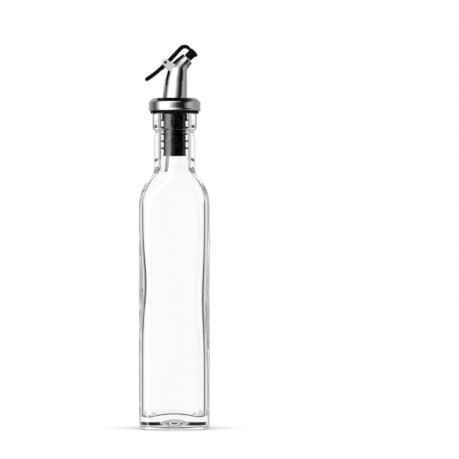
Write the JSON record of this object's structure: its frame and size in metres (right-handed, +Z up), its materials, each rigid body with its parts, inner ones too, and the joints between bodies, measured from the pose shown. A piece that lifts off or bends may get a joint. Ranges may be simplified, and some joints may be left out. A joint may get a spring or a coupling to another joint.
{
  "type": "glass oil bottle with lever pourer",
  "caption": "Square clear glass oil bottle with a round neck, closed by a push-in steel pourer whose sprung black thumb lever lifts a sealing cap off the bent spout.",
  "frame": {"origin": "centre of the square base, on the plane that the bottle stands on", "axes": "+Z up along the bottle and its neck; +X the way the spout pours; +Y across, along the lever's pin"},
  "size_m": [0.0466, 0.0466, 0.2528],
  "materials": {
    "clear_glass": "clear, slightly wavy blown glass",
    "black_rubber": "satin black",
    "dark_plastic": "moulded, matt",
    "black_plastic": "semi-gloss moulded black",
    "polished_steel": "mirror polished stainless steel",
    "satin_steel": "satin, light grey",
    "tube_steel": "drawn, satin",
    "black_steel": "blackened"
  },
  "bodies": {
    "bottle": {"glass_bottle": "clear_glass"},
    "gasket": {"rim_gasket": "black_rubber"},
    "pourer": {"stopper_sleeve": "black_rubber", "core_tube": "dark_plastic", "breather_tube": "tube_steel", "collar_insert": "dark_plastic", "collar_shell": "polished_steel", "spout_seal": "black_rubber", "spout_shell": "polished_steel", "mouth_seat": "black_rubber", "lever_bracket": "satin_steel", "pivot_pin": "black_steel", "return_spring": "tube_steel"},
    "lever": {"lever_arm": "black_plastic", "cap_seal": "black_rubber", "cap_button": "black_plastic"}
  },
  "joints": [
    {"name": "stopper_lift", "type": "slide", "parent": "bottle", "child": "gasket", "axis": [0, 0, 1], "range_m": [0, 0.045]},
    {"name": "pourer_twist", "type": "hinge", "parent": "gasket", "child": "pourer", "pos_m": [0, 0, 0.2083], "axis": [0, 0, 1], "continuous": true},
    {"name": "lever_pivot", "type": "hinge", "parent": "pourer", "child": "lever", "pos_m": [-0.0059, 0, 0.241], "axis": [0, -1, 0], "range_deg": [0, 34], "stiffness_Nm_per_rad": 0.01, "springref_deg": -20.05, "deforming": ["return_spring"]}
  ]
}
